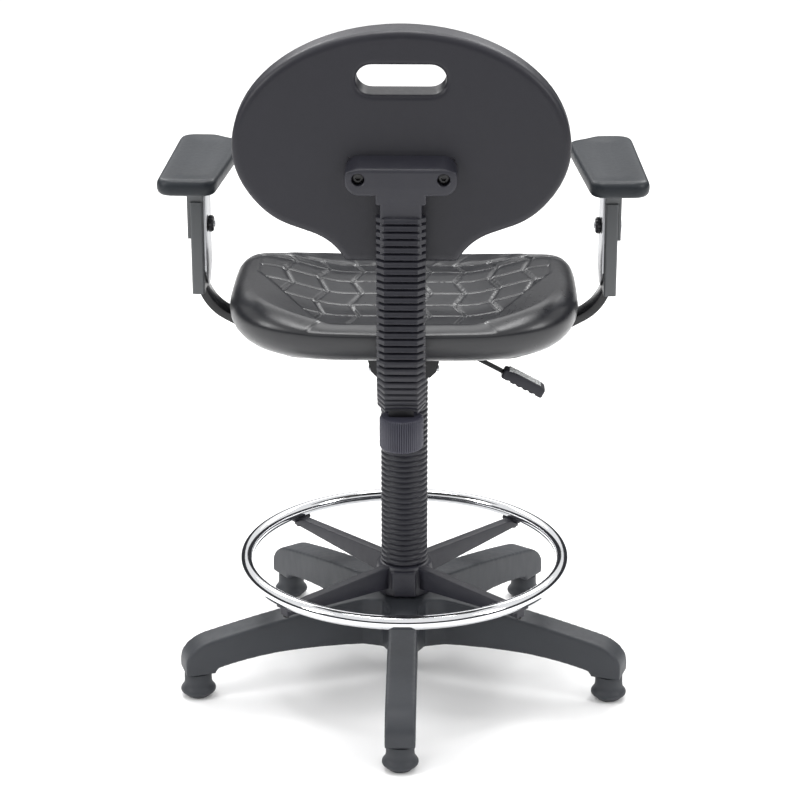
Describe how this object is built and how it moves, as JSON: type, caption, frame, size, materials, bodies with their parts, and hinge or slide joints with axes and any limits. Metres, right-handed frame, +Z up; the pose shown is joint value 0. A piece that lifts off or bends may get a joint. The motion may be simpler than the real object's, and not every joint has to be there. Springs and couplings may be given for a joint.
{
  "type": "drafting chair",
  "caption": "Drafting chair with a moulded seat and oval backrest, adjustable arms, gas column, chrome foot ring and a five-leg base on glides.",
  "frame": {"origin": "on the floor, under the middle of the chair's bounding box; the column's axis stands 28 mm in front of it (-Y)", "axes": "+Z up, the sitter faces -Y, +X is the sitter's left"},
  "size_m": [0.6246, 0.586, 0.9534],
  "materials": {
    "base_nylon": "satin",
    "glide_nylon": "satin",
    "zinc_steel": "satin",
    "black_tube": "satin",
    "bush_plastic": "satin",
    "piston_rubber": "matte",
    "chrome_ring": "polished",
    "spider_plastic": "satin",
    "bellows_rubber": "satin",
    "black_steel": "satin",
    "arm_paint": "gloss",
    "pan_wood": "matte",
    "seat_foam_skin": "satin",
    "back_foam_skin": "satin",
    "pad_foam_skin": "satin",
    "arm_plastic": "satin",
    "strip_steel": "satin",
    "knob_plastic": "satin",
    "lever_paint": "gloss",
    "lever_plastic": "satin",
    "lever_grey": "matte",
    "wheel_plastic": "satin",
    "screw_black": "satin",
    "insert_brass": "satin"
  },
  "bodies": {
    "base": {"star_base": "base_nylon", "hub_ring": "zinc_steel", "glide_1": "glide_nylon", "glide_2": "glide_nylon", "glide_3": "glide_nylon", "glide_4": "glide_nylon", "glide_5": "glide_nylon", "glide_stems": "zinc_steel", "column_tube": "black_tube", "guide_bush": "bush_plastic", "thrust_bearing": "zinc_steel", "footring_tube": "chrome_ring", "footring_spider": "spider_plastic", "ring_screws": "zinc_steel"},
    "rod": {"piston_rod": "zinc_steel", "piston": "piston_rubber", "rod_clip": "zinc_steel", "column_bellows": "bellows_rubber"},
    "seat": {"gas_cylinder": "black_tube", "mechanism_housing": "black_steel", "column_socket": "zinc_steel", "seat_plate": "zinc_steel", "seat_pan": "pan_wood", "seat_foam": "seat_foam_skin", "seat_bolts": "zinc_steel", "tee_nuts": "zinc_steel", "arm_bar_left": "arm_paint", "arm_bar_right": "arm_paint", "arm_bolts": "zinc_steel", "arm_cover_left": "arm_plastic", "arm_cover_right": "arm_plastic", "spine_pin": "zinc_steel", "lever_pin": "zinc_steel"},
    "release": {"release_pin": "zinc_steel"},
    "lever": {"lever_rod": "lever_paint", "lever_paddle": "lever_plastic", "lever_cap": "lever_grey"},
    "spine": {"spine_bar": "black_steel", "elbow_block": "black_steel", "elbow_bellows": "bellows_rubber", "spine_bellows": "bellows_rubber"},
    "wheel": {"lock_wheel": "wheel_plastic", "wheel_stud": "zinc_steel"},
    "back": {"back_bracket": "spider_plastic", "back_screws": "screw_black", "back_inserts": "insert_brass", "back_core": "zinc_steel", "back_foam": "back_foam_skin"},
    "arm_left": {"arm_slide_left": "arm_plastic", "arm_strip_left": "strip_steel", "arm_bolt_left": "zinc_steel", "arm_pad_left": "pad_foam_skin"},
    "knob_left": {"arm_knob_left": "knob_plastic"},
    "arm_right": {"arm_slide_right": "arm_plastic", "arm_strip_right": "strip_steel", "arm_bolt_right": "zinc_steel", "arm_pad_right": "pad_foam_skin"},
    "knob_right": {"arm_knob_right": "knob_plastic"}
  },
  "joints": [
    {"name": "column_swivel", "type": "hinge", "parent": "base", "child": "rod", "pos_m": [0, -0.02826, 0.05], "axis": [0, 0, 1], "continuous": true},
    {"name": "seat_height", "type": "slide", "parent": "rod", "child": "seat", "axis": [0, 0, 1], "range_m": [0, 0.24], "deforming": ["column_bellows"]},
    {"name": "lever_pull", "type": "hinge", "parent": "seat", "child": "lever", "pos_m": [-0.04, -0.02826, 0.49], "axis": [0, 1, 0], "range_deg": [0, 6], "stiffness_Nm_per_rad": 1.5, "springref_deg": -17.19},
    {"name": "release_press", "type": "slide", "parent": "seat", "child": "release", "axis": [0, 0, -1], "range_m": [0, 0.0045]},
    {"name": "back_rake", "type": "hinge", "parent": "seat", "child": "spine", "pos_m": [0, 0.01673, 0.4605], "axis": [-1, 0, 0], "range_deg": [-2, 12]},
    {"name": "wheel_turn", "type": "hinge", "parent": "spine", "child": "wheel", "pos_m": [0, 0.17952, 0.43], "axis": [0, 0, 1], "range_deg": [0, 270]},
    {"name": "back_height", "type": "slide", "parent": "spine", "child": "back", "axis": [0, 0, 1], "range_m": [-0.02, 0.05], "deforming": ["spine_bellows"]},
    {"name": "arm_height_left", "type": "slide", "parent": "seat", "child": "arm_left", "axis": [0, 0, 1], "range_m": [0, 0.03]},
    {"name": "knob_turn_left", "type": "hinge", "parent": "arm_left", "child": "knob_left", "pos_m": [0.27, -0.02826, 0.6457], "axis": [0.9994, -0.0349, 0], "range_deg": [0, 270]},
    {"name": "arm_height_right", "type": "slide", "parent": "seat", "child": "arm_right", "axis": [0, 0, 1], "range_m": [0, 0.03]},
    {"name": "knob_turn_right", "type": "hinge", "parent": "arm_right", "child": "knob_right", "pos_m": [-0.27, -0.02826, 0.6457], "axis": [-0.9994, -0.0349, 0], "range_deg": [0, 270]}
  ],
  "couplings": [
    {"joint": "release_press", "follows": "lever_pull", "m_per_rad": 0.04}
  ]
}
